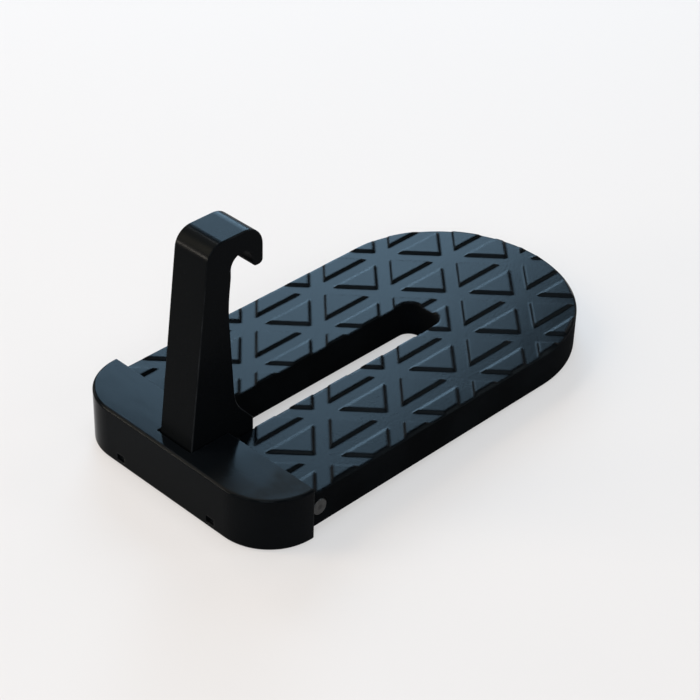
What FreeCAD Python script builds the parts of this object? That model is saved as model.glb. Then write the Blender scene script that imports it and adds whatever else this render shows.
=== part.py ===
import FreeCAD, Part
import math
import os
import Sketcher

# Door latch step: a pedal that hangs on a car door's striker by a folding hook.
# Sizes in millimetres. The frame's origin is the middle of the step's length and width,
# at the level of the end block's underside; +X runs from the end block to the pedal's round nose.
SIZES = {
    # Whole step
    "step_length": 164.0,
    # Pedal: a flat plate with a round nose and a long slot for the folded hook
    "pedal_width": 84.8,
    "pedal_thickness": 11.7,
    "slot_width": 15.2,
    "slot_nose_gap": 51.6,
    "slot_corner": 4.5,
    "slot_edge": 0.45,
    "outline_edge": 1.1,
    # Tread: triangular studs left between three sets of straight channels
    "stud_height": 0.75,
    "stud_draft": 40.0,
    "stud_pitch": 30.5,
    "stud_row": 16.25,
    "stud_start": 14.6,
    "channel_width": 4.5,
    # End block: a moulded cap over the pedal's square end, which rests against the car
    "block_length": 18.6,
    "block_width": 88.0,
    "block_height": 18.4,
    "block_side_flat": 0.6,
    "block_under": 2.9,
    "block_end_wall": 6.6,
    "block_edge": 0.9,
    "block_fit": 0.1,
    # Small recesses low on the end block's outer face
    "recess_spread": 40.0,
    "recess_width": 3.4,
    "recess_height": 2.4,
    "recess_lift": 1.7,
    "recess_depth": 1.2,
    # Countersunk screws that hold the end block to the pedal from below
    "screw_spread": 50.0,
    "screw_inset": 6.0,
    "screw_diameter": 3.0,
    "screw_head_diameter": 6.0,
    "screw_length": 9.5,
    "screw_clearance": 0.15,
    # Hinge pin across the pedal, pressed into both legs
    "pin_ahead": 4.0,
    "pin_diameter": 6.0,
    "pin_running_clearance": 0.05,
    "pin_chamfer": 0.5,
    # Hook arm, measured from the hinge pin's axis and from the pedal's tread
    "arm_width": 13.9,
    "arm_gap": 0.35,
    "knuckle_radius": 6.8,
    "fold_angle": 83.0,
    "heel_back": 18.2,
    "crown_back": 9.95,
    "hook_height": 70.0,
    "tip_reach": 10.65,
    "tip_drop": 13.4,
    "tip_thickness": 3.9,
    "mouth_width": 8.3,
    "mouth_depth": 6.6,
    "waist_back": 2.65,
    "waist_height": 46.5,
    "root_back": 0.35,
    "root_height": 12.0,
    "foot_height": 3.6,
    # Rounds of the hook arm
    "crown_round": 6.0,
    "brow_round": 7.2,
    "tip_round": 1.6,
    "waist_round": 60.0,
    "root_round": 12.0,
    "foot_round": 1.5,
    "arm_edge": 0.3,
}

doc = FreeCAD.newDocument("door_latch_step")
sheet = doc.addObject("Spreadsheet::Sheet", "sizes")
for row, (alias, value) in enumerate(SIZES.items(), start=1):
    sheet.set(f"A{row}", alias)
    sheet.set(f"B{row}", str(value))
    sheet.setAlias(f"B{row}", alias)
doc.recompute()

# Places that several sub-parts share, as expressions on the sheet
HALF_SLOT = "sizes.slot_width / 2"
HALF_PEDAL = "sizes.pedal_width / 2"
FRONT_X = "(sizes.block_length - sizes.step_length / 2)"
PIN_Z = "(sizes.block_under + sizes.pedal_thickness / 2)"
PEDAL_LENGTH = "(sizes.step_length - sizes.block_length)"
TUCK = "(sizes.block_length - sizes.block_end_wall)"
BLOCK_CORNER = "(sizes.block_length - sizes.block_side_flat)"
TUCK_CORNER = f"({BLOCK_CORNER} - sizes.block_end_wall)"
BAR_BACK = "(sizes.pin_ahead - sizes.knuckle_radius - sizes.arm_gap)"
HEEL_LEVEL = "sizes.pedal_thickness / 2"
ARM_TOP = "(sizes.hook_height + sizes.pedal_thickness / 2)"
SCREW_X = "(-sizes.screw_inset)"

ALONG_Y = FreeCAD.Vector(0, 1, 0)
ALONG_Z = FreeCAD.Vector(0, 0, 1)
# Two places closer than this count as one
NEAR = 1e-4


def measure(expression):
    """Value of an expression on the sheet, as a plain number."""
    value = sheet.evalExpression(expression)
    return float(getattr(value, "Value", value))


def new_body(label, x="0", y="0", z="0"):
    """Empty body whose placement follows the sheet."""
    body = doc.addObject("PartDesign::Body", label)
    body.Label = label
    for axis, expression in zip("xyz", (x, y, z)):
        body.setExpression(f"Placement.Base.{axis}", expression)
    return body


def new_sketch(body, name, plane, offset="0"):
    """Sketch on one of the body's origin planes, moved along the plane's normal."""
    sketch = body.newObject("Sketcher::SketchObject", name)
    support = next(item for item in body.Origin.OriginFeatures if item.Role == plane)
    sketch.AttachmentSupport = [(support, "")]
    sketch.MapMode = "FlatFace"
    sketch.setExpression("AttachmentOffset.Base.z", offset)
    return sketch


def pin_point(sketch, geometry, end, x, y):
    """Hold one point of the sketch at two expressions from the sketch's origin."""
    for kind, expression in (("DistanceX", x), ("DistanceY", y)):
        constraint = Sketcher.Constraint(kind, -1, 1, geometry, end, measure(expression))
        index = sketch.addConstraint(constraint)
        sketch.setExpression(f"Constraints[{index}]", expression)


def draw_polygon(sketch, corners):
    """Closed outline of straight lines through corners given as pairs of expressions."""
    points = [FreeCAD.Vector(measure(x), measure(y), 0) for x, y in corners]
    count = len(points)
    first = sketch.GeometryCount
    for index in range(count):
        sketch.addGeometry(Part.LineSegment(points[index], points[(index + 1) % count]), False)
    for index in range(count):
        here = first + index
        following = first + (index + 1) % count
        sketch.addConstraint(Sketcher.Constraint("Coincident", here, 2, following, 1))
        pin_point(sketch, here, 1, *corners[index])


def draw_box(sketch, left, right, bottom, top):
    """Upright rectangle between four expressions."""
    draw_polygon(sketch, [(left, bottom), (right, bottom), (right, top), (left, top)])


def draw_round_end(sketch, square_x, round_x, half_width):
    """Plate outline with a square end and a half-round end whose tip is at round_x."""
    centre_x = f"({round_x} - {half_width})"
    back = measure(square_x)
    centre = measure(centre_x)
    half = measure(half_width)
    corner = FreeCAD.Vector(back, -half, 0)
    upper_corner = FreeCAD.Vector(back, half, 0)
    arc = Part.Arc(FreeCAD.Vector(centre, -half, 0), FreeCAD.Vector(centre + half, 0, 0),
                   FreeCAD.Vector(centre, half, 0))
    sketch.addGeometry(Part.LineSegment(corner, arc.StartPoint), False)
    sketch.addGeometry(arc, False)
    sketch.addGeometry(Part.LineSegment(arc.EndPoint, upper_corner), False)
    sketch.addGeometry(Part.LineSegment(upper_corner, corner), False)
    sketch.addConstraint(Sketcher.Constraint("Tangent", 0, 2, 1, 1))
    sketch.addConstraint(Sketcher.Constraint("Tangent", 1, 2, 2, 1))
    sketch.addConstraint(Sketcher.Constraint("Coincident", 2, 2, 3, 1))
    sketch.addConstraint(Sketcher.Constraint("Coincident", 3, 2, 0, 1))
    pin_point(sketch, 0, 1, square_x, f"-{half_width}")
    pin_point(sketch, 2, 2, square_x, half_width)
    hold = sketch.addConstraint(Sketcher.Constraint("DistanceX", -1, 1, 1, 3, centre))
    sketch.setExpression(f"Constraints[{hold}]", centre_x)


def draw_tuck(sketch, back, front, half_width, corner):
    """Outline with a square front and two rounded corners at the back."""
    start = measure(front)
    left = measure(back)
    half = measure(half_width)
    radius = measure(corner)
    bulge = radius * (1 - math.sqrt(0.5))
    upper = Part.Arc(FreeCAD.Vector(left + radius, half, 0), FreeCAD.Vector(left + bulge, half - bulge, 0),
                     FreeCAD.Vector(left, half - radius, 0))
    lower = Part.Arc(FreeCAD.Vector(left, radius - half, 0), FreeCAD.Vector(left + bulge, bulge - half, 0),
                     FreeCAD.Vector(left + radius, -half, 0))
    upper_front = FreeCAD.Vector(start, half, 0)
    lower_front = FreeCAD.Vector(start, -half, 0)
    sketch.addGeometry(Part.LineSegment(upper_front, upper.StartPoint), False)
    sketch.addGeometry(upper, False)
    sketch.addGeometry(Part.LineSegment(upper.EndPoint, lower.StartPoint), False)
    sketch.addGeometry(lower, False)
    sketch.addGeometry(Part.LineSegment(lower.EndPoint, lower_front), False)
    sketch.addGeometry(Part.LineSegment(lower_front, upper_front), False)
    for before in range(4):
        sketch.addConstraint(Sketcher.Constraint("Tangent", before, 2, before + 1, 1))
    sketch.addConstraint(Sketcher.Constraint("Coincident", 4, 2, 5, 1))
    sketch.addConstraint(Sketcher.Constraint("Coincident", 5, 2, 0, 1))
    pin_point(sketch, 0, 1, front, half_width)
    pin_point(sketch, 1, 3, f"({back} + {corner})", f"({half_width} - {corner})")
    pin_point(sketch, 3, 3, f"({back} + {corner})", f"({corner} - {half_width})")
    pin_point(sketch, 4, 2, front, f"-{half_width}")


def draw_circle(sketch, x, y, radius):
    """Circle whose centre and radius follow expressions."""
    centre = FreeCAD.Vector(measure(x), measure(y), 0)
    circle = sketch.addGeometry(Part.Circle(centre, FreeCAD.Vector(0, 0, 1), measure(radius)), False)
    pin_point(sketch, circle, 3, x, y)
    index = sketch.addConstraint(Sketcher.Constraint("Radius", circle, measure(radius)))
    sketch.setExpression(f"Constraints[{index}]", radius)


def pad(body, sketch, name, length, both_ways=False):
    """Solid from a sketch, along its normal or evenly to both sides."""
    feature = body.newObject("PartDesign::Pad", name)
    feature.Profile = sketch
    feature.Midplane = both_ways
    feature.setExpression("Length", length)
    doc.recompute()
    return feature


def cut(body, sketch, name, length, along_normal=False, both_ways=False, slant=None):
    """Cut from a sketch, against its normal unless told otherwise; it has to remove something.

    With a slant the cut runs that far along X for each step along Y.
    """
    before = body.Shape.Volume
    feature = body.newObject("PartDesign::Pocket", name)
    feature.Profile = sketch
    feature.Reversed = along_normal
    feature.Midplane = both_ways
    feature.setExpression("Length", length)
    if slant:
        feature.UseCustomVector = True
        feature.Direction = FreeCAD.Vector(measure(slant), 1, 0)
        feature.setExpression("Direction.x", slant)
    doc.recompute()
    if not body.Shape.Volume < before:
        raise RuntimeError(f"{name} removes nothing")
    return feature


def repeat(body, feature, name, axis, spacing, count):
    """Straight row of copies of a feature along an axis of its sketch."""
    pattern = body.newObject("PartDesign::LinearPattern", name)
    pattern.Originals = [feature]
    pattern.Direction = (feature.Profile[0], [axis])
    pattern.Mode = "Spacing"
    pattern.setExpression("Offset", spacing)
    pattern.setExpression("Occurrences", count)
    body.Tip = pattern
    doc.recompute()
    return pattern


def edges_at(body, direction, places):
    """Names of straight edges along a direction that pass through given points of the body."""
    names = []
    inside = body.Placement.inverse()
    for number, edge in enumerate(body.Shape.Edges, start=1):
        if len(edge.Vertexes) < 2:
            continue
        start, end = (inside.multVec(vertex.Point) for vertex in edge.Vertexes)
        along = (end - start).normalize()
        if abs(abs(along.dot(direction)) - 1) > 1e-6:
            continue
        flat = start - direction * start.dot(direction)
        if any((flat - place).Length < NEAR for place in places):
            names.append(f"Edge{number}")
    return names


def level_edges(body, height, wanted):
    """Names of the edges that lie flat at a height of the body and whose middle is wanted."""
    names = []
    level = measure(height)
    for number, edge in enumerate(body.Shape.Edges, start=1):
        middle = body.Placement.inverse().multVec(edge.CenterOfMass)
        flat = edge.BoundBox.ZLength < NEAR and abs(middle.z - level) < NEAR
        if flat and wanted(middle):
            names.append(f"Edge{number}")
    return names


def round_edges(body, name, radius, direction, places):
    """Fillet on the edges along a direction through given points, each point a pair of expressions."""
    across = [axis for axis in range(3) if not direction[axis]]
    points = []
    for pair in places:
        point = FreeCAD.Vector()
        for axis, expression in zip(across, pair):
            point[axis] = measure(expression)
        points.append(point)
    names = edges_at(body, direction, points)
    if len(names) < len(places):
        raise RuntimeError(f"{name} misses an edge")
    return dress(body, "PartDesign::Fillet", name, names, "Radius", radius)


def dress(body, kind, name, edges, size_name, size):
    """Fillet or chamfer on named edges of the body's last feature."""
    base = body.Tip
    feature = body.newObject(kind, name)
    feature.Base = (base, edges)
    feature.setExpression(size_name, size)
    body.Tip = feature
    doc.recompute()
    return feature


# Pedal, drawn from the end block's front plane, with its underside at z = 0
def make_pedal():
    body = new_body("pedal", FRONT_X, "0", "sizes.block_under")
    tuck_end = f"(-{TUCK})"
    plate = new_sketch(body, "plate_outline", "XY_Plane")
    draw_round_end(plate, tuck_end, PEDAL_LENGTH, HALF_PEDAL)
    pad(body, plate, "plate", "sizes.pedal_thickness + sizes.stud_height")
    corners = [(tuck_end, f"-{HALF_PEDAL}"), (tuck_end, HALF_PEDAL)]
    round_edges(body, "tucked_corners", TUCK_CORNER, ALONG_Z, corners)

    # Slot, closed by a cross bar under the block
    slot_end = f"({PEDAL_LENGTH} - sizes.slot_nose_gap)"
    slot = new_sketch(body, "slot_outline", "XY_Plane")
    draw_box(slot, BAR_BACK, slot_end, f"-{HALF_SLOT}", HALF_SLOT)
    cut(body, slot, "slot", "sizes.pedal_thickness + sizes.stud_height + 1", along_normal=True)
    corners = [(slot_end, f"-{HALF_SLOT}"), (slot_end, HALF_SLOT)]
    round_edges(body, "slot_corners", "sizes.slot_corner", ALONG_Z, corners)

    # Bevels round the top of the outline and of the slot
    def in_slot(middle):
        within_length = measure(BAR_BACK) - NEAR < middle.x < measure(slot_end) + NEAR
        return within_length and abs(middle.y) < measure(HALF_SLOT) + NEAR

    top = "sizes.pedal_thickness + sizes.stud_height"
    outline_rim = level_edges(body, top, lambda middle: not in_slot(middle))
    dress(body, "PartDesign::Chamfer", "outline_bevel", outline_rim, "Size", "sizes.outline_edge")
    slot_rim = level_edges(body, top, in_slot)
    dress(body, "PartDesign::Chamfer", "slot_bevel", slot_rim, "Size", "sizes.slot_edge")

    # The end under the block has no studs
    shoulder = new_sketch(body, "shoulder_outline", "XY_Plane", "sizes.pedal_thickness")
    draw_box(shoulder, f"(-{TUCK} - 1)", "0", f"(-{HALF_PEDAL} - 1)", f"({HALF_PEDAL} + 1)")
    cut(body, shoulder, "shoulder", "sizes.stud_height + 1", along_normal=True)

    make_tread(body)

    bore = new_sketch(body, "pin_bore_outline", "XZ_Plane")
    draw_circle(bore, "sizes.pin_ahead", "sizes.pedal_thickness / 2", "sizes.pin_diameter / 2")
    cut(body, bore, "pin_bore", "sizes.pedal_width + 2", both_ways=True)

    pilots = new_sketch(body, "screw_pilot_outline", "XY_Plane")
    for side in ("-", ""):
        draw_circle(pilots, SCREW_X, f"{side}sizes.screw_spread / 2", "sizes.screw_diameter / 2")
    cut(body, pilots, "screw_pilots", "sizes.screw_length - sizes.block_under", along_normal=True)
    return body


# Tread: channels along the step and along both slants of the triangles, with walls that lean outwards
def make_tread(body):
    slope = "(sizes.stud_pitch / 2 / sizes.stud_row)"
    stretch = f"sqrt(1 + {slope} * {slope})"
    rows = f"floor(({HALF_PEDAL} + sizes.channel_width / 2) / sizes.stud_row)"

    along = new_sketch(body, "long_channel_section", "YZ_Plane")
    draw_channel(along, f"(-sizes.stud_row * {rows})", "1")
    channel = cut(body, along, "long_channel", f"2 * {PEDAL_LENGTH}", both_ways=True)
    repeat(body, channel, "long_channels", "H_Axis", "sizes.stud_row", f"2 * {rows} + 1")

    before = f"floor(({HALF_PEDAL} * {slope} + sizes.stud_start) / sizes.stud_pitch)"
    first_x = f"(sizes.stud_start - sizes.stud_pitch * {before})"
    count = f"1 + floor(({PEDAL_LENGTH} - {first_x}) / sizes.stud_pitch)"
    for name, slant in (("rising", slope), ("falling", f"-{slope}")):
        section = new_sketch(body, f"{name}_channel_section", "XZ_Plane")
        draw_channel(section, first_x, stretch)
        across = "sizes.pedal_width + 2"
        channel = cut(body, section, f"{name}_channel", across, both_ways=True, slant=slant)
        repeat(body, channel, f"{name}_channels", "H_Axis", "sizes.stud_pitch", count)


def draw_channel(sketch, middle, stretch):
    """Section of a channel through the studs, wider by the stretch where it is drawn across a slant."""
    headroom = "(sizes.stud_height + 1)"
    half_floor = f"(sizes.channel_width / 2 * {stretch})"
    half_top = f"({half_floor} + {headroom} * tan(sizes.stud_draft * 1deg) * {stretch})"
    top = f"(sizes.pedal_thickness + {headroom})"
    draw_polygon(sketch, [(f"({middle} - {half_floor})", "sizes.pedal_thickness"),
                          (f"({middle} + {half_floor})", "sizes.pedal_thickness"),
                          (f"({middle} + {half_top})", top), (f"({middle} - {half_top})", top)])


# End block, drawn from its own front plane, with its underside at z = 0
def make_end_block():
    body = new_body("end_block", FRONT_X)
    half_width = "sizes.block_width / 2"
    back = "(-sizes.block_length)"
    outline = new_sketch(body, "block_outline", "XY_Plane")
    draw_box(outline, back, "0", f"-{half_width}", half_width)
    pad(body, outline, "block", "sizes.block_height")
    corners = [(back, f"-{half_width}"), (back, half_width)]
    round_edges(body, "outer_corners", BLOCK_CORNER, ALONG_Z, corners)

    # Soft edge round the top and the bottom, except along the front
    rims = []
    for height in ("0", "sizes.block_height"):
        rims += level_edges(body, height, lambda middle: middle.x < -NEAR)
    dress(body, "PartDesign::Fillet", "soft_rims", rims, "Radius", "sizes.block_edge")

    # Pocket for the pedal's end
    pocket_back = f"(-{TUCK} - sizes.block_fit)"
    pocket_side = f"({HALF_PEDAL} + sizes.block_fit)"
    pocket = new_sketch(body, "pedal_pocket_outline", "XY_Plane", "sizes.block_under - sizes.block_fit")
    draw_tuck(pocket, pocket_back, "1", pocket_side, f"({TUCK_CORNER} + sizes.block_fit)")
    cut(body, pocket, "pedal_pocket", "sizes.pedal_thickness + 2 * sizes.block_fit", along_normal=True)

    # Notch for the hook's heel in the top, and for its knuckle in the bottom
    heel_back = "(sizes.pin_ahead - sizes.heel_back - sizes.arm_gap)"
    tread = "sizes.block_under + sizes.pedal_thickness"
    top_notch = new_sketch(body, "heel_notch_outline", "XY_Plane", tread)
    draw_box(top_notch, heel_back, "1", f"-{HALF_SLOT}", HALF_SLOT)
    cut(body, top_notch, "heel_notch", "sizes.block_height", along_normal=True)
    under_notch = new_sketch(body, "knuckle_notch_outline", "XY_Plane", "sizes.block_under")
    draw_box(under_notch, BAR_BACK, "1", f"-{HALF_SLOT}", HALF_SLOT)
    cut(body, under_notch, "knuckle_notch", "sizes.block_under + 1")

    # Two small recesses low on the outer face
    recess = new_sketch(body, "recess_outline", "YZ_Plane", back)
    low = "sizes.recess_lift"
    high = "(sizes.recess_lift + sizes.recess_height)"
    half_recess = "sizes.recess_width / 2"
    for side in ("-", ""):
        middle = f"{side}sizes.recess_spread / 2"
        draw_box(recess, f"({middle} - {half_recess})", f"({middle} + {half_recess})", low, high)
    cut(body, recess, "recesses", "sizes.recess_depth", along_normal=True)

    # Screw holes from below, countersunk
    holes = new_sketch(body, "screw_hole_outline", "XY_Plane")
    hole_radius = "(sizes.screw_diameter / 2 + sizes.screw_clearance)"
    for side in ("-", ""):
        draw_circle(holes, SCREW_X, f"{side}sizes.screw_spread / 2", hole_radius)
    cut(body, holes, "screw_holes", "sizes.block_under", along_normal=True)
    mouths = []
    for number, edge in enumerate(body.Shape.Edges, start=1):
        round_edge = isinstance(edge.Curve, Part.Circle)
        if round_edge and edge.isClosed() and abs(edge.CenterOfMass.z) < NEAR:
            mouths.append(f"Edge{number}")
    sink_size = "(sizes.screw_head_diameter - sizes.screw_diameter) / 2"
    dress(body, "PartDesign::Chamfer", "countersinks", mouths, "Size", sink_size)
    return body


# Hook arm, drawn from the hinge pin's axis in the step's middle plane
def make_hook_arm():
    body = new_body("hook_arm", f"{FRONT_X} + sizes.pin_ahead", "0", PIN_Z)
    knuckle = "sizes.knuckle_radius"
    toe_slope = "tan((90 - sizes.fold_angle) * 1deg)"
    toe_drop = f"({knuckle} / cos((90 - sizes.fold_angle) * 1deg))"
    toe_front = f"(-{toe_drop} - {knuckle} * {toe_slope})"
    toe_back = f"(-{toe_drop} + {knuckle} * {toe_slope})"
    tip_level = f"({ARM_TOP} - sizes.tip_drop)"
    tip_inside = "(sizes.tip_reach - sizes.tip_thickness)"
    mouth_back = f"({tip_inside} - sizes.mouth_width)"
    foot_top = f"({HEEL_LEVEL} + sizes.foot_height)"
    heel = ("-sizes.heel_back", HEEL_LEVEL)
    crown = ("-sizes.crown_back", ARM_TOP)
    brow = ("sizes.tip_reach", ARM_TOP)
    tip = ("sizes.tip_reach", tip_level)
    chin = (mouth_back, tip_level)
    waist = ("-sizes.waist_back", f"({HEEL_LEVEL} + sizes.waist_height)")
    root = ("-sizes.root_back", f"({HEEL_LEVEL} + sizes.root_height)")
    foot = (knuckle, foot_top)
    toe = (knuckle, toe_front)
    knuckle_corner = (f"-{knuckle}", toe_back)
    heel_inside = (f"-{knuckle}", HEEL_LEVEL)
    outline = new_sketch(body, "arm_outline", "XZ_Plane")
    draw_polygon(outline, [heel, crown, brow, tip, chin, waist, root, foot, toe,
                           knuckle_corner, heel_inside])
    pad(body, outline, "arm", "sizes.arm_width", both_ways=True)

    # Mouth that drops over the striker: straight sides and a half-round seat
    mouth = new_sketch(body, "mouth_outline", "XZ_Plane")
    seat_level = f"({tip_level} + sizes.mouth_depth - sizes.mouth_width / 2)"
    draw_arch(mouth, mouth_back, tip_inside, tip_level, seat_level)
    cut(body, mouth, "mouth", "sizes.arm_width + 2", both_ways=True)

    round_edges(body, "knuckle_round", knuckle, ALONG_Y, [knuckle_corner])
    round_edges(body, "crown_rounding", "sizes.crown_round", ALONG_Y, [crown])
    round_edges(body, "brow_rounding", "sizes.brow_round", ALONG_Y, [brow])
    round_edges(body, "tip_rounding", "sizes.tip_round", ALONG_Y, [tip, (tip_inside, tip_level)])
    round_edges(body, "waist_rounding", "sizes.waist_round", ALONG_Y, [waist])
    round_edges(body, "root_rounding", "sizes.root_round", ALONG_Y, [root])
    round_edges(body, "foot_rounding", "sizes.foot_round", ALONG_Y, [foot])

    # Soft edge all round both sides
    half_width = measure("sizes.arm_width / 2")
    rims = []
    for number, edge in enumerate(body.Shape.Edges, start=1):
        middle = body.Placement.inverse().multVec(edge.BoundBox.Center)
        if abs(abs(middle.y) - half_width) < NEAR:
            rims.append(f"Edge{number}")
    dress(body, "PartDesign::Chamfer", "soft_sides", rims, "Size", "sizes.arm_edge")

    bore = new_sketch(body, "arm_bore_outline", "XZ_Plane")
    draw_circle(bore, "0", "0", "(sizes.pin_diameter / 2 + sizes.pin_running_clearance)")
    cut(body, bore, "arm_bore", "sizes.arm_width + 2", both_ways=True)
    return body


def draw_arch(sketch, left, right, bottom, spring):
    """Opening with straight sides from the bottom to the spring line and a half-round top."""
    low = measure(bottom)
    side = measure(spring)
    left_x = measure(left)
    right_x = measure(right)
    radius = (right_x - left_x) / 2
    arc = Part.Arc(FreeCAD.Vector(right_x, side, 0), FreeCAD.Vector(left_x + radius, side + radius, 0),
                   FreeCAD.Vector(left_x, side, 0))
    left_foot = FreeCAD.Vector(left_x, low, 0)
    right_foot = FreeCAD.Vector(right_x, low, 0)
    sketch.addGeometry(Part.LineSegment(right_foot, arc.StartPoint), False)
    sketch.addGeometry(arc, False)
    sketch.addGeometry(Part.LineSegment(arc.EndPoint, left_foot), False)
    sketch.addGeometry(Part.LineSegment(left_foot, right_foot), False)
    sketch.addConstraint(Sketcher.Constraint("Tangent", 0, 2, 1, 1))
    sketch.addConstraint(Sketcher.Constraint("Tangent", 1, 2, 2, 1))
    sketch.addConstraint(Sketcher.Constraint("Coincident", 2, 2, 3, 1))
    sketch.addConstraint(Sketcher.Constraint("Coincident", 3, 2, 0, 1))
    pin_point(sketch, 0, 1, right, bottom)
    pin_point(sketch, 2, 2, left, bottom)
    hold = sketch.addConstraint(Sketcher.Constraint("DistanceY", -1, 1, 1, 3, side))
    sketch.setExpression(f"Constraints[{hold}]", spring)


# Hinge pin, flush with both sides of the pedal
def make_hinge_pin():
    body = new_body("hinge_pin", f"{FRONT_X} + sizes.pin_ahead", "0", PIN_Z)
    outline = new_sketch(body, "pin_outline", "XZ_Plane")
    draw_circle(outline, "0", "0", "sizes.pin_diameter / 2")
    pad(body, outline, "pin", "sizes.pedal_width", both_ways=True)
    ends = [f"Edge{number}" for number, edge in enumerate(body.Shape.Edges, start=1) if edge.isClosed()]
    dress(body, "PartDesign::Chamfer", "pin_ends", ends, "Size", "sizes.pin_chamfer")
    return body


# Countersunk screw, drawn upright from the flat of its head
def make_screw(label, side):
    body = new_body(label, f"{FRONT_X} + {SCREW_X}", f"{side}sizes.screw_spread / 2", "0")
    head = "sizes.screw_head_diameter / 2"
    shank = "sizes.screw_diameter / 2"
    profile = new_sketch(body, f"{label}_profile", "XZ_Plane")
    draw_polygon(profile, [("0", "0"), (head, "0"), (shank, f"({head} - {shank})"),
                           (shank, "sizes.screw_length"), ("0", "sizes.screw_length")])
    turned = body.newObject("PartDesign::Revolution", f"{label}_turned")
    turned.Profile = profile
    turned.ReferenceAxis = (profile, ["V_Axis"])
    turned.Angle = 360
    doc.recompute()
    return body


bodies = [make_pedal(), make_end_block(), make_hook_arm(), make_hinge_pin()]
for label, side in (("screw_left", ""), ("screw_right", "-")):
    bodies.append(make_screw(label, side))
doc.recompute()

for item in doc.Objects:
    if "Invalid" in item.State or "Error" in item.State:
        raise RuntimeError(f"{item.Name} failed: {item.State}")
for body in bodies:
    if body.Shape.isNull() or not body.Shape.isValid():
        raise RuntimeError(f"{body.Label} has no valid shape")

os.makedirs("parts", exist_ok=True)
for body in bodies:
    body.Shape.exportStep(f"parts/{body.Label}.step")
    box = body.Shape.BoundBox
    print(f"{body.Label}: {len(body.Shape.Solids)} solid, {body.Shape.Volume:.1f} mm3, "
          f"x {box.XMin:.2f} to {box.XMax:.2f}, z {box.ZMin:.2f} to {box.ZMax:.2f}")
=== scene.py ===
import bmesh
import bpy
import math
from mathutils import Matrix, Quaternion, Vector


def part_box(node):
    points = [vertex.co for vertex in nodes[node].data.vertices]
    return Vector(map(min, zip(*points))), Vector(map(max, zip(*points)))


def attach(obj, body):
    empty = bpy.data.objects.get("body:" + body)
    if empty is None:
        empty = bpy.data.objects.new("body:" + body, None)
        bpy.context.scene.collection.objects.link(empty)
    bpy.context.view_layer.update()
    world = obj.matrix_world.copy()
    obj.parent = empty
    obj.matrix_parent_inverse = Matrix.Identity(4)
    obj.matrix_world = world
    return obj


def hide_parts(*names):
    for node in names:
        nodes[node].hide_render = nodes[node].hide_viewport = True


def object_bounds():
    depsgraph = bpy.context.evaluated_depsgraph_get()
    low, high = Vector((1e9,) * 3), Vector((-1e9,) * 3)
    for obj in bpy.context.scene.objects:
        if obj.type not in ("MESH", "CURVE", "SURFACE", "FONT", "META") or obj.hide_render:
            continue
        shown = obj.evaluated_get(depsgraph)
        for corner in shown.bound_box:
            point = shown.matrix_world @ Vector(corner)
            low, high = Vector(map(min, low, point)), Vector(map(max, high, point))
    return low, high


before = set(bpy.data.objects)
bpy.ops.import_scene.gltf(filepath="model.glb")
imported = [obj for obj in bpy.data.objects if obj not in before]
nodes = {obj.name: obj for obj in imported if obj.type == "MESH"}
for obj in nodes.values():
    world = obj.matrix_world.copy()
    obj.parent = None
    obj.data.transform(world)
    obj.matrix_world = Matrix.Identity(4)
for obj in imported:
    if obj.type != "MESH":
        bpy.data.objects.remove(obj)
cad_low, cad_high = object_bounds()
scene = bpy.context.scene
MM = 0.001

# The photograph's camera, solved from the step's own edges; angles in degrees
PHOTO_SIZE = 700
FOCAL_PIXELS = 2083.1
SENSOR_WIDTH = 36.0
CAMERA_PLACE = Vector((-388.8, -369.6, 392.5)) * MM
CAMERA_HEADING = 43.923
CAMERA_DIP = 35.242
CAMERA_ROLL = 1.81

# Share of light that each black finish mirrors, as the shader's specular level
PEDAL_MIRROR = 0.0212
BLOCK_MIRROR = 0.0175
HOOK_MIRROR = 0.0125

# Roughness of the pedal's cast walls, and what handling adds to the end block's
WALL_ROUGHNESS = 0.95
HANDLED_ROUGHNESS = 0.48

# Share of bare metal that shows along the tread's rubbed edges
RUBBED_SHARE = 0.2

# Brightness of the two steels, and the pitch of the rings that turning leaves
PIN_STEEL = 0.048
SCREW_STEEL = 0.08
RING_PITCH = 0.16 * MM

# Factors that keep what lies across an axis of turning
ACROSS_Y = (1.0, 0.0, 1.0)
ACROSS_Z = (1.0, 1.0, 0.0)

# Cross recess of the screws, and how near to the end a point counts as the tip's
RECESS_REACH = 1.75 * MM
RECESS_HALF_WIDTH = 0.42 * MM
RECESS_DEPTH = 1.3 * MM
RECESS_TAPER = 0.55
RING_POINTS = 48
TIP_TOLERANCE = 0.01 * MM

# Floor of pale paper, and the plain white in what is seen of it
FLOOR_HALF_SIZE = 3.0
PAPER = (0.93, 0.785, 0.72, 1.0)
PAPER_CLOUD = (0.91, 0.765, 0.70, 1.0)
CLOUD_SIZE = 0.4
WHITE = (1.0, 1.0, 1.0, 1.0)
WHITE_STRENGTH = 0.635
WHITE_SHARE = 0.75

# Colours of the lights
DEEP_SKY = (0.45, 0.73, 1.0)
SKY = (0.55, 0.78, 1.0)
NORTH_LIGHT = (0.75, 0.9, 1.0)
PALE_SKY = (0.75, 0.92, 1.0)
ICE = (0.9, 0.97, 1.0)
NEUTRAL = (1.0, 0.98, 0.96)
IVORY = (1.0, 0.97, 0.86)
CREAM = (1.0, 0.92, 0.80)
WARM = (1.0, 0.91, 0.7)
WORLD_STRENGTH = 0.09


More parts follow.
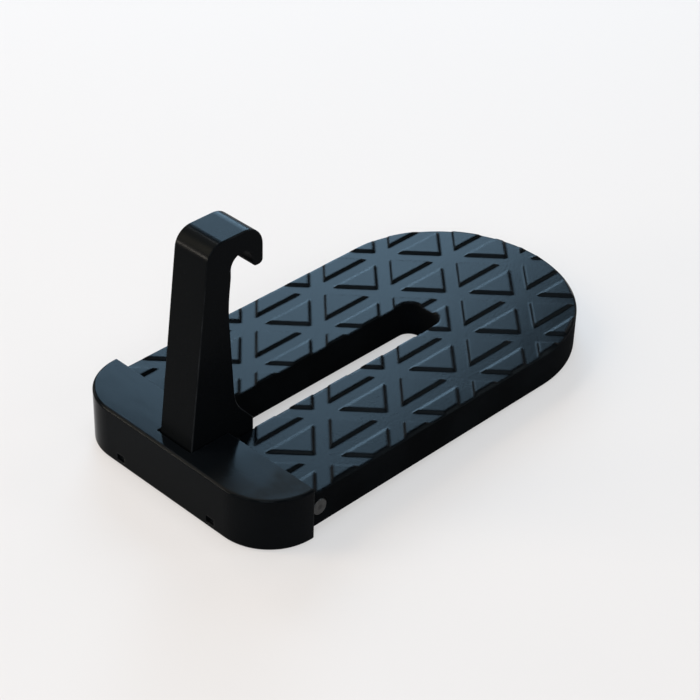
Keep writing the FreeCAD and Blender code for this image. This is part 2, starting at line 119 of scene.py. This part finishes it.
# Node helpers
class Graph:
    """A material's node tree, with short calls for the nodes used here."""

    def __init__(self, name):
        self.material = bpy.data.materials.new(name)
        self.material.use_nodes = True
        self.tree = self.material.node_tree
        self.tree.nodes.clear()
        self.output = self.tree.nodes.new("ShaderNodeOutputMaterial")
        coordinates = self.tree.nodes.new("ShaderNodeTexCoord")
        self.place = coordinates.outputs["Object"]
        self.facing = coordinates.outputs["Normal"]

    def node(self, kind, inputs=None, **settings):
        made = self.tree.nodes.new(kind)
        for key, value in settings.items():
            setattr(made, key, value)
        for key, value in (inputs or {}).items():
            self.feed(made.inputs[key], value)
        return made

    def feed(self, socket, value):
        """Link a socket, or set a plain value on it."""
        if isinstance(value, bpy.types.NodeSocket):
            self.tree.links.new(value, socket)
        else:
            socket.default_value = value

    def noise(self, size, detail=3.0, roughness=0.5, stretch=None):
        """Soft noise whose lumps are about size metres wide."""
        place = self.place
        if stretch:
            place = self.node("ShaderNodeMapping", {"Vector": place, "Scale": stretch}).outputs[0]
        inputs = {"Vector": place, "Scale": 1 / size, "Detail": detail, "Roughness": roughness}
        return self.node("ShaderNodeTexNoise", inputs).outputs["Fac"]

    def span(self, value, within, onto=(0.0, 1.0)):
        """Value moved from one range onto another, and held inside it."""
        low, high = within
        to_low, to_high = onto
        inputs = {"Value": value, "From Min": low, "From Max": high, "To Min": to_low, "To Max": to_high}
        return self.node("ShaderNodeMapRange", inputs).outputs[0]

    def math(self, operation, first, second=0.5):
        return self.node("ShaderNodeMath", {0: first, 1: second}, operation=operation).outputs[0]

    def plus(self, first, second):
        return self.math("ADD", first, second)

    def times(self, first, second):
        return self.math("MULTIPLY", first, second)

    def vectors(self, operation, first, second=(0.0, 0.0, 0.0)):
        """Outputs of a sum on vectors: Vector, or Value where the answer is one number."""
        return self.node("ShaderNodeVectorMath", {0: first, 1: second}, operation=operation).outputs

    def along(self, axis, vector):
        """A vector's length along one axis."""
        return self.node("ShaderNodeSeparateXYZ", {0: vector}).outputs[axis]

    def mix(self, share, first, second):
        """Colour between two colours."""
        made = self.node("ShaderNodeMix", data_type="RGBA")
        self.feed(made.inputs[0], share)
        self.feed(made.inputs[6], first)
        self.feed(made.inputs[7], second)
        return made.outputs[2]

    def soft_edge(self, radius):
        """Normal that turns smoothly round sharp edges."""
        return self.node("ShaderNodeBevel", {"Radius": radius}, samples=6).outputs[0]

    def edge_mask(self, radius, sharp, flat):
        """One along edges and nought on faces, by how far the softened normal agrees with the face's own."""
        own = self.node("ShaderNodeNewGeometry").outputs["Normal"]
        agreement = self.vectors("DOT_PRODUCT", own, self.soft_edge(radius))["Value"]
        return self.span(agreement, within=(flat, sharp))

    def bump(self, height, distance, strength, normal):
        inputs = {"Height": height, "Distance": distance, "Strength": strength, "Normal": normal}
        return self.node("ShaderNodeBump", inputs).outputs[0]

    def principled(self, **inputs):
        """Principled shader; names use underscores for spaces."""
        sockets = {key.replace("_", " "): value for key, value in inputs.items()}
        return self.node("ShaderNodeBsdfPrincipled", sockets).outputs[0]

    def finish(self, shader):
        """The material, with this shader as its surface."""
        self.tree.links.new(shader, self.output.inputs["Surface"])
        return self.material


def grey(level, blue=1.0):
    """Nearly neutral dark colour, cooler for blue above one."""
    return (level / blue, level, level * blue, 1.0)


# Materials
def pedal_coat(stud_top):
    """Satin black coat over a casting: a tread that soles polish, matte walls and rubbed stud edges."""
    graph = Graph("pedal_coat")
    peel = graph.noise(size=0.9 * MM, detail=2.0)
    grain = graph.noise(size=0.22 * MM, detail=1.0)
    patches = graph.noise(size=26 * MM, detail=5.0, roughness=0.6)

    dusty = graph.span(patches, within=(0.4, 0.72))
    coat = graph.mix(dusty, grey(0.001, blue=1.2), grey(0.0025, blue=1.2))
    edges = graph.edge_mask(radius=0.35 * MM, sharp=0.80, flat=0.985)
    worn_patches = graph.span(patches, within=(0.4, 0.65), onto=(0.1, 1.0))
    rubbed = graph.times(edges, worn_patches)
    colour = graph.mix(graph.times(rubbed, RUBBED_SHARE), coat, grey(0.03, blue=1.15))

    polished = graph.span(patches, within=(0.3, 0.75), onto=(0.15, 0.24))
    stud_rise = (stud_top - 0.5 * MM, stud_top - 0.1 * MM)
    trodden = graph.span(graph.along("Z", graph.place), within=stud_rise, onto=(0.0, 0.03))
    speckle = graph.span(grain, within=(0.3, 0.7), onto=(-0.02, 0.02))
    tread = graph.plus(graph.plus(polished, trodden), speckle)
    upward = graph.along("Z", graph.facing)
    roughness = graph.span(upward, within=(0.3, 0.6), onto=(WALL_ROUGHNESS, tread))

    normal = graph.bump(peel, distance=0.05 * MM, strength=0.3, normal=graph.soft_edge(1.2 * MM))
    normal = graph.bump(grain, distance=0.012 * MM, strength=0.3, normal=normal)
    return graph.finish(graph.principled(Base_Color=colour, Roughness=roughness, Normal=normal,
                                         Specular_IOR_Level=PEDAL_MIRROR))


def block_moulding():
    """Smooth black moulding with faint flow marks, scuffed rims, and a top dulled by hands at one end."""
    graph = Graph("block_moulding")
    flow = graph.noise(size=30 * MM, detail=4.0, stretch=(1.0, 0.35, 1.0))
    sink = graph.noise(size=16 * MM, detail=2.0)
    skin = graph.noise(size=0.5 * MM, detail=2.0)
    scuffs = graph.noise(size=3 * MM, detail=6.0, roughness=0.7, stretch=(1.0, 0.2, 1.0))
    blotches = graph.noise(size=13 * MM)

    near_end = graph.span(graph.along("Y", graph.place), within=(-16 * MM, -30 * MM))
    level_top = graph.span(graph.along("Z", graph.facing), within=(0.7, 0.95))
    blotched = graph.span(blotches, within=(0.35, 0.6), onto=(0.3, 1.0))
    handled = graph.times(graph.times(near_end, level_top), blotched)

    flow_marks = graph.span(flow, within=(0.35, 0.7))
    moulded = graph.mix(flow_marks, grey(0.0014, blue=1.2), grey(0.0022, blue=1.2))
    dusty = graph.mix(handled, moulded, grey(0.0065, blue=0.98))
    edges = graph.edge_mask(radius=0.6 * MM, sharp=0.85, flat=0.99)
    scuffed = graph.span(scuffs, within=(0.45, 0.65), onto=(0.1, 0.8))
    colour = graph.mix(graph.times(edges, scuffed), dusty, grey(0.012, blue=1.1))

    sheen = graph.span(flow, within=(0.3, 0.7), onto=(0.07, 0.12))
    scratched = graph.span(scuffs, within=(0.5, 0.75), onto=(0.0, 0.08))
    dulled = graph.times(handled, HANDLED_ROUGHNESS)
    roughness = graph.plus(graph.plus(sheen, scratched), dulled)

    normal = graph.bump(sink, distance=0.25 * MM, strength=0.12, normal=graph.soft_edge(0.35 * MM))
    normal = graph.bump(skin, distance=0.02 * MM, strength=0.25, normal=normal)
    return graph.finish(graph.principled(Base_Color=colour, Roughness=roughness, Normal=normal,
                                         Specular_IOR_Level=BLOCK_MIRROR))


def hook_coat():
    """Gloss black paint on a forging, with a long ripple and rubbed chamfers."""
    graph = Graph("hook_coat")
    ripple = graph.noise(size=5 * MM, stretch=(1.0, 1.0, 0.5))
    peel = graph.noise(size=0.8 * MM, detail=2.0)
    smears = graph.noise(size=14 * MM, detail=5.0, roughness=0.65)

    sideways = graph.along("Y", graph.facing)
    squared = graph.times(sideways, sideways)
    slanted = graph.times(squared, graph.math("SUBTRACT", 1.0, squared))
    chamfer = graph.span(slanted, within=(0.05, 0.2))
    worn_smears = graph.span(smears, within=(0.4, 0.65), onto=(0.1, 0.9))
    rubbed = graph.times(chamfer, worn_smears)
    colour = graph.mix(rubbed, grey(0.002, blue=1.15), grey(0.012, blue=1.05))
    roughness = graph.span(smears, within=(0.3, 0.75), onto=(0.2, 0.32))

    normal = graph.bump(ripple, distance=0.05 * MM, strength=0.2, normal=graph.soft_edge(0.45 * MM))
    normal = graph.bump(peel, distance=0.015 * MM, strength=0.25, normal=normal)
    return graph.finish(graph.principled(Base_Color=colour, Roughness=roughness, Normal=normal,
                                         Specular_IOR_Level=HOOK_MIRROR))


def turned_steel(name, level, centre, across):
    """Turned steel: fine rings round the piece's own axis, painted shade that darkens the centre as inside a
    recess, and uneven tarnish.
    """
    graph = Graph(name)
    moved = graph.vectors("SUBTRACT", graph.place, centre)["Vector"]
    radial = graph.vectors("MULTIPLY", moved, across)["Vector"]
    distance = graph.vectors("LENGTH", radial)["Value"]
    rings = graph.math("SINE", graph.times(distance, 2 * math.pi / RING_PITCH))
    stain = graph.noise(size=2.5 * MM, detail=5.0, roughness=0.6)

    bright = grey(level)
    dull = grey(level * 0.72, blue=0.98)
    dark = grey(level * 0.4)
    tarnished = graph.mix(graph.span(stain, within=(0.35, 0.7)), bright, dull)
    # Painted shade: the middle is darkened towards the axis, as the shadow inside a recess would be
    recess_shade = graph.span(distance, within=(0.5 * MM, 1.2 * MM), onto=(1.0, 0.0))
    colour = graph.mix(recess_shade, tarnished, dark)
    roughness = graph.span(stain, within=(0.3, 0.7), onto=(0.28, 0.45))

    normal = graph.bump(rings, distance=0.006 * MM, strength=0.35, normal=graph.soft_edge(0.15 * MM))
    return graph.finish(graph.principled(Base_Color=colour, Metallic=1.0, Roughness=roughness, Normal=normal))


def pale_floor():
    """Pale paper, mostly white where the camera or a reflection sees it; the rest keeps the shadow."""
    graph = Graph("pale_floor")
    cloud = graph.span(graph.noise(CLOUD_SIZE, detail=2.0), within=(0.3, 0.7))
    colour = graph.mix(cloud, PAPER, PAPER_CLOUD)
    paper = graph.principled(Base_Color=colour, Roughness=0.9, Specular_IOR_Level=0.1)
    white = graph.node("ShaderNodeEmission", {"Color": WHITE, "Strength": WHITE_STRENGTH}).outputs[0]
    rays = graph.node("ShaderNodeLightPath").outputs
    seen = graph.plus(rays["Is Camera Ray"], rays["Is Glossy Ray"])
    seen = graph.math("MINIMUM", graph.plus(seen, rays["Is Transmission Ray"]), 1.0)
    share = graph.times(seen, WHITE_SHARE)
    return graph.finish(graph.node("ShaderNodeMixShader", {0: share, 1: paper, 2: white}).outputs[0])


# The CAD nodes keep their shapes and get their materials
def box_middle(node):
    low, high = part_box(node)
    return (Vector(low) + Vector(high)) / 2


def dress(node, material):
    """Give one material to a whole node."""
    mesh = nodes[node].data
    mesh.materials.clear()
    mesh.materials.append(material)


pedal_low, pedal_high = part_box("pedal")
block_low, block_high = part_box("end_block")
dress("pedal", pedal_coat(stud_top=pedal_high[2]))
dress("end_block", block_moulding())
dress("hook_arm", hook_coat())
dress("hinge_pin", turned_steel("pin_steel", PIN_STEEL, box_middle("hinge_pin"), ACROSS_Y))


# Screws with a cross recess in the head, in the place of the plain ones
def ring(shape, centre, radius, height):
    """Points of a level circle."""
    points = []
    for step in range(RING_POINTS):
        angle = 2 * math.pi * step / RING_POINTS
        place = (centre.x + radius * math.cos(angle), centre.y + radius * math.sin(angle), height)
        points.append(shape.verts.new(place))
    return points


def cross(shape, centre, scale, height):
    """Points of a level cross with four equal arms."""
    reach = RECESS_REACH * scale
    half = RECESS_HALF_WIDTH * scale
    points = []
    for quarter in range(4):
        turn = Matrix.Rotation(quarter * math.pi / 2, 2)
        for corner in ((reach, -half), (reach, half), (half, half)):
            flat = turn @ Vector(corner)
            points.append(shape.verts.new((centre.x + flat.x, centre.y + flat.y, height)))
    return points


def pairs(loop):
    """Neighbours round a closed loop."""
    return zip(loop, loop[1:] + loop[:1])


def wall(shape, lower, upper):
    """Four-sided faces between two loops of as many points."""
    for (first, second), (third, fourth) in zip(pairs(lower), pairs(upper)):
        shape.faces.new((first, second, fourth, third))


def cross_screw(node):
    """Countersunk screw of the node's own sizes, with a tapered cross recess in its flat head."""
    low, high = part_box(node)
    centre = box_middle(node)
    head = (high[0] - low[0]) / 2
    tip = [point.co for point in nodes[node].data.vertices if high[2] - point.co.z < TIP_TOLERANCE]
    shank = max((place - centre).xy.length for place in tip)
    shape = bmesh.new()
    rim = ring(shape, centre, head, low[2])
    neck = ring(shape, centre, shank, low[2] + head - shank)
    end = ring(shape, centre, shank, high[2])
    wall(shape, rim, neck)
    wall(shape, neck, end)
    shape.faces.new(end)
    mouth = cross(shape, centre, 1.0, low[2])
    bottom = cross(shape, centre, RECESS_TAPER, low[2] + RECESS_DEPTH)
    wall(shape, mouth, bottom)
    shape.faces.new(bottom)
    border = [shape.edges.get(pair) for loop in (rim, mouth) for pair in pairs(loop)]
    bmesh.ops.triangle_fill(shape, edges=border, use_beauty=True)
    bmesh.ops.recalc_face_normals(shape, faces=shape.faces[:])
    mesh = bpy.data.meshes.new(f"{node}_cross_head")
    shape.to_mesh(mesh)
    shape.free()
    mesh.materials.append(turned_steel(f"{node}_steel", SCREW_STEEL, centre, ACROSS_Z))
    piece = bpy.data.objects.new(f"{node}_cross_head", mesh)
    scene.collection.objects.link(piece)
    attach(piece, "step")
    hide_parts(node)


for screw in ("screw_left", "screw_right"):
    cross_screw(screw)


# Floor, sloped a little so that the end block and the pedal's nose both stand on it
def floor():
    slope = math.atan2(pedal_low[2] - block_low[2], pedal_high[0] - block_high[0])
    half = FLOOR_HALF_SIZE
    mesh = bpy.data.meshes.new("floor")
    corners = [(-half, -half, 0), (half, -half, 0), (half, half, 0), (-half, half, 0)]
    mesh.from_pydata(corners, [], [(0, 1, 2, 3)])
    plane = bpy.data.objects.new("floor", mesh)
    scene.collection.objects.link(plane)
    plane.location = (block_high[0], 0, block_low[2])
    plane.rotation_euler = (0, -slope, 0)
    mesh.materials.append(pale_floor())


floor()

# Light
middle = (Vector(cad_low) + Vector(cad_high)) / 2


def around(turn, lift, distance):
    """Place at a turn from +X and a lift above the floor, in degrees, round the step's middle."""
    flat = distance * math.cos(math.radians(lift))
    return middle + Vector((flat * math.cos(math.radians(turn)), flat * math.sin(math.radians(turn)),
                            distance * math.sin(math.radians(lift))))


def softbox(name, place, size, power, colour, roll=0.0):
    """Rectangular light that faces the step's middle, rolled by so many degrees round its own axis."""
    lamp = bpy.data.lights.new(name, "AREA")
    lamp.shape = "RECTANGLE"
    lamp.size, lamp.size_y = size
    lamp.energy = power
    lamp.color = colour
    holder = bpy.data.objects.new(name, lamp)
    scene.collection.objects.link(holder)
    holder.location = place
    holder.rotation_mode = "QUATERNION"
    aim = (middle - place).to_track_quat("-Z", "Y")
    holder.rotation_quaternion = aim @ Quaternion((0, 0, 1), math.radians(roll))


# The back softbox is what the tops mirror towards the photograph's camera
softbox("back_softbox", around(turn=50.1, lift=23, distance=1.4), size=(0.73, 0.73), power=35,
        colour=DEEP_SKY, roll=-33)
softbox("back_strip", around(turn=74, lift=50, distance=2.4), size=(0.12, 0.5), power=4, colour=ICE)
softbox("left_softbox", around(turn=132, lift=34, distance=2.6), size=(0.8, 1.95), power=47, colour=WARM)
softbox("upper_left_softbox", around(turn=97, lift=53, distance=2.6), size=(1.6, 0.6), power=11, colour=IVORY)
softbox("low_left_strip", around(turn=146, lift=5, distance=2.6), size=(1.15, 0.17), power=60, colour=CREAM)
softbox("front_softbox", around(turn=-138, lift=33, distance=2.4), size=(0.9, 1.25), power=34,
        colour=NORTH_LIGHT)
softbox("right_softbox", around(turn=-46, lift=22, distance=2.4), size=(0.7, 0.7), power=12, colour=PALE_SKY)
softbox("top_softbox", around(turn=-90, lift=88, distance=2.4), size=(1.1, 1.1), power=26, colour=SKY)
for turn in (0, 90, 180, 270):
    softbox(f"fill_softbox_{turn}", around(turn, lift=24, distance=2.4), size=(1.0, 0.9), power=11,
            colour=NEUTRAL)

world = bpy.data.worlds.new("studio")
scene.world = world
world.use_nodes = True
backdrop = world.node_tree.nodes["Background"]
backdrop.inputs["Color"].default_value = (*NEUTRAL, 1.0)
backdrop.inputs["Strength"].default_value = WORLD_STRENGTH


# Camera
def camera():
    data = bpy.data.cameras.new("photo_camera")
    data.sensor_width = SENSOR_WIDTH
    data.lens = FOCAL_PIXELS / PHOTO_SIZE * SENSOR_WIDTH
    holder = bpy.data.objects.new("photo_camera", data)
    scene.collection.objects.link(holder)
    turn = Matrix.Rotation(math.radians(CAMERA_HEADING - 90), 4, "Z")
    tip = Matrix.Rotation(math.radians(90 - CAMERA_DIP), 4, "X")
    roll = Matrix.Rotation(math.radians(CAMERA_ROLL), 4, "Z")
    holder.matrix_world = Matrix.Translation(CAMERA_PLACE) @ turn @ tip @ roll
    scene.camera = holder


camera()
scene.view_settings.view_transform = "Standard"

bpy.context.view_layer.update()
